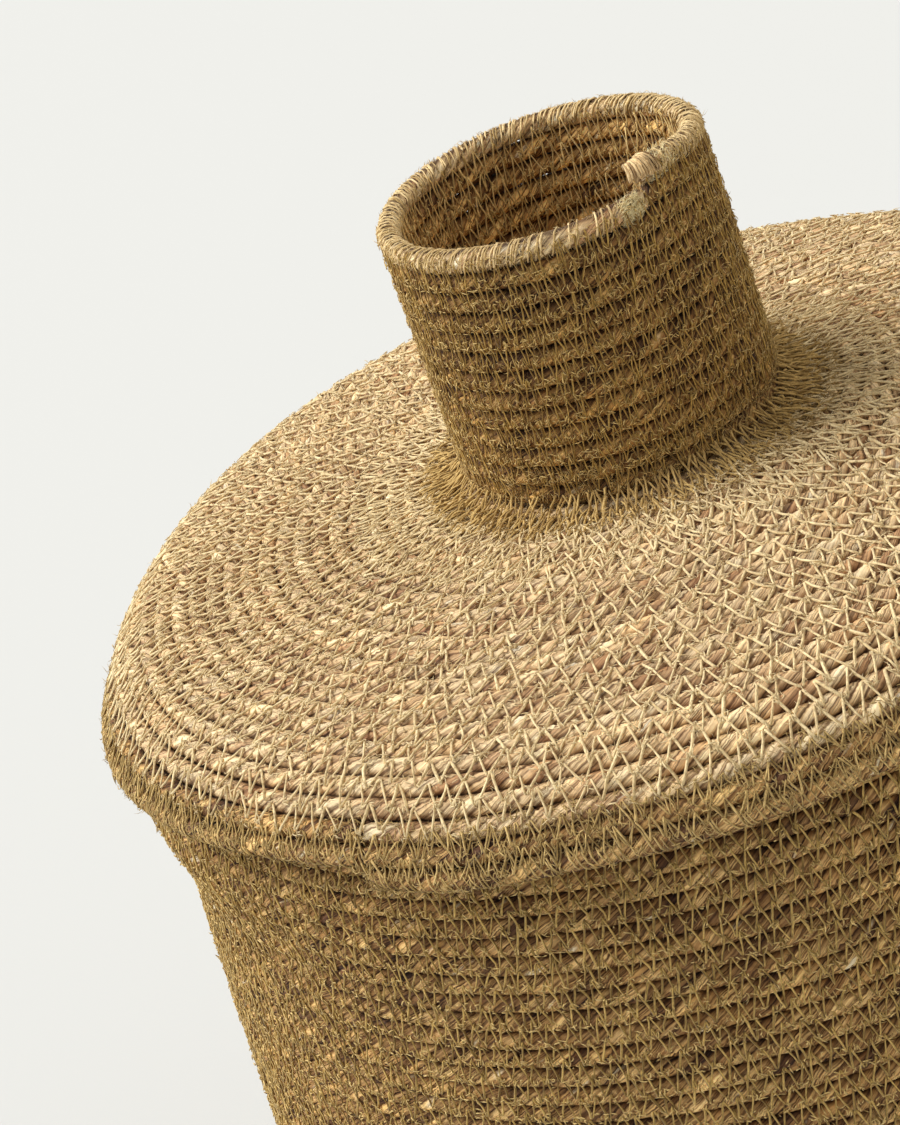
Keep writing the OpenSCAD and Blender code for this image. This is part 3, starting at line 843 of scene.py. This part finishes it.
def make_knob_foot():
    """Bands of short stitches from the tube's lowest rows down and out over the lid, which
    round off the corner, and a mat of combed fibres over them. Each band is a rough zigzag."""
    rng = np.random.default_rng(251)
    width, height_up_tube = 12.5, 6.5
    foot_r, foot_z = KNOB_POINTS[0] + [ROPE_R + 0.8, 0]
    bend = np.linspace(0, 1, 60)
    r = foot_r + width * bend**1.8
    on_lid = np.interp(r, LID_ROWS[:, 0], LID_ROWS[:, 1]) + ROPE_R
    z = on_lid + (foot_z + height_up_tube - on_lid[0]) * (1 - bend) ** 2.2
    path = np.concatenate([[0], np.cumsum(np.hypot(np.diff(r), np.diff(z)))])
    across = np.stack([-np.gradient(z), np.gradient(r)], 1)
    across /= -np.linalg.norm(across, axis=1)[:, None]
    across *= np.sign(across[:, :1] + across[:, 1:])
    rows = []
    for begin, end, count in ((0.0, 0.42, 230), (0.2, 0.62, 250), (0.42, 0.82, 240),
                              (0.6, 0.95, 130)):
        az = (np.arange(count) + rng.normal(0, 0.45, count)) / count * 2 * math.pi
        lean = np.where(np.arange(count) % 2 == 0, 1, -1) * rng.uniform(0.2, 2.4, count)
        top = begin + rng.normal(0, 0.09, count)
        low = end + rng.normal(0, 0.10, count)
        puff = rng.uniform(0.0, 0.9, count)
        lines = []
        for t, level in ((0, -0.8), (0.08, 0.05), (0.3, 0.2), (0.55, 0.25), (0.8, 0.2),
                         (0.92, 0.05), (1, -0.8)):
            at = np.clip(top + (low - top) * t, 0, 1) * path[-1]
            out = level + puff * math.sin(math.pi * t)
            radius = np.interp(at, path, r) + np.interp(at, path, across[:, 0]) * out
            height = np.interp(at, path, z) + np.interp(at, path, across[:, 1]) * out
            angle = az + lean * (t - 0.5) / radius
            points = np.stack([radius * np.cos(angle), radius * np.sin(angle), height], -1)
            lines.append(tip(points))
        rows.append(np.stack(lines, 1))
    sew("knob_foot_stitching", "lid", "binding_thread", FOOT_THREAD, "knob_foot_seam",
        np.concatenate(rows), 0.29, 4, 252)
    mat = [hairs(lid, KNOB_FOOT_ROW + 0.4, 10.9, 5000, 253, 3.8, 0.5, 65, 1, 1.0, 0.5),
           hairs(knob, 0.6, 2.2, 1600, 254, 3.4, 0.4, 60, 1, 1.0, 0.5)]
    sew("knob_foot_mat", "lid", "binding_thread", FOOT_THREAD, "knob_foot_seam",
        np.concatenate(mat), 0.14, 3, 255)


def make_knob_end():
    """The cut end of the knob's rope: a fan of grass blades that comes up from inside the
    rim and turns out and down over it, cut off square."""
    rng = np.random.default_rng(261)
    shown, hidden = 12, 50
    place = np.concatenate([np.linspace(-1, 1, shown), rng.uniform(-0.9, 0.9, hidden)])
    count = len(place)
    layer = np.concatenate([rng.uniform(3.0, 3.4, shown), rng.uniform(1.2, 2.7, hidden)])
    first = 170 + rng.normal(0, 8, count)
    last = -18 + 16 * place + rng.normal(0, 7, count)
    lines = []
    for t in (0, 0.12, 0.3, 0.5, 0.7, 0.88, 0.985, 1):
        phi = np.radians(first + (last - first) * t)
        reach = layer * (0.72 + 0.36 * t)
        ahead = -1.6 + place * (1.7 + 2.7 * t) + 1.4 * t
        az = knob.az(KNOB_ROWS) - ahead / knob.section(KNOB_ROWS)[0]
        lines.append(knob.place(KNOB_ROWS + 0 * ahead, az, reach * np.cos(phi),
                                0.9 + reach * np.sin(phi)))
    radius = np.concatenate([rng.uniform(0.3, 0.4, shown), rng.uniform(0.2, 0.32, hidden)])
    sew("knob_rope_fray", "lid", "rope_end", END_BLADES, "knob_rope_end", np.stack(lines, 1),
        radius, 4, 262)


# ---------------------------------------------------------------- floor, light and camera
def make_floor():
    bpy.ops.mesh.primitive_plane_add(size=14, location=(0, 0, -0.0005))
    floor = bpy.context.object
    floor.name = "floor"
    material, _, shader = new_material("floor")
    shader.inputs["Base Color"].default_value = (0.608, 0.608, 0.586, 1)
    shader.inputs["Roughness"].default_value = 0.9
    floor.data.materials.append(material)


def add_sun(name, energy, spread, towards, colour=(1, 1, 1)):
    """A distant lamp that looks 'spread' degrees wide and shines in a given direction."""
    sun = bpy.data.lights.new(name, "SUN")
    sun.energy, sun.angle, sun.color = energy, math.radians(spread), colour
    lamp = bpy.data.objects.new(name, sun)
    lamp.rotation_euler = Vector(towards).to_track_quat("-Z", "Y").to_euler()
    bpy.context.scene.collection.objects.link(lamp)


def make_light():
    """A wide soft window at the back left, and pale walls that send some of it back."""
    scene = bpy.context.scene
    scene.view_settings.view_transform = "Standard"
    world = bpy.data.worlds.new("world")
    scene.world = world
    world.use_nodes = True
    background = world.node_tree.nodes["Background"]
    background.inputs["Color"].default_value = (1, 1, 0.985, 1)
    background.inputs["Strength"].default_value = 0.47
    add_sun("window", 3.6, 46, (0.62, -0.20, -0.76))
    add_sun("fill", 0.42, 60, (-0.9, 0.12, -0.42), (1.0, 0.88, 0.66))
    add_sun("white_wall", 0.32, 60, (0.95, 0.15, -0.28), (0.72, 0.88, 1.0))


def make_camera():
    """The camera is near, above the front, and turned about its own axis."""
    aim_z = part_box("skirt_binding")[0][2]
    distance = 5.10 * LID_R * MM
    elevation, roll = math.radians(27.30), math.radians(18.60)
    yaw, pitch = math.radians(-3.965), math.radians(0.678)
    right = np.array([1.0, 0, 0])
    ahead = np.array([0, math.cos(elevation), -math.sin(elevation)])
    up = np.array([0, math.sin(elevation), math.cos(elevation)])
    place = -ahead * distance + [0, 0, aim_z]
    right, ahead = (math.cos(yaw) * right - math.sin(yaw) * ahead,
                    math.sin(yaw) * right + math.cos(yaw) * ahead)
    up, ahead = (math.cos(pitch) * up - math.sin(pitch) * ahead,
                 math.sin(pitch) * up + math.cos(pitch) * ahead)
    right, up = (math.cos(roll) * right - math.sin(roll) * up,
                 math.sin(roll) * right + math.cos(roll) * up)
    data = bpy.data.cameras.new("camera")
    data.sensor_width = 36
    data.lens = 96
    data.clip_start = 0.01
    camera = bpy.data.objects.new("camera", data)
    axes = np.stack([right, up, -ahead], 1)
    camera.matrix_world = Matrix(
        [[*axes[0], place[0]], [*axes[1], place[1]], [*axes[2], place[2]], [0, 0, 0, 1]]
    )
    bpy.context.scene.collection.objects.link(camera)
    bpy.context.scene.camera = camera


make_camera()
make_floor()
make_light()
make_basket_body()
make_lid()
make_knob()
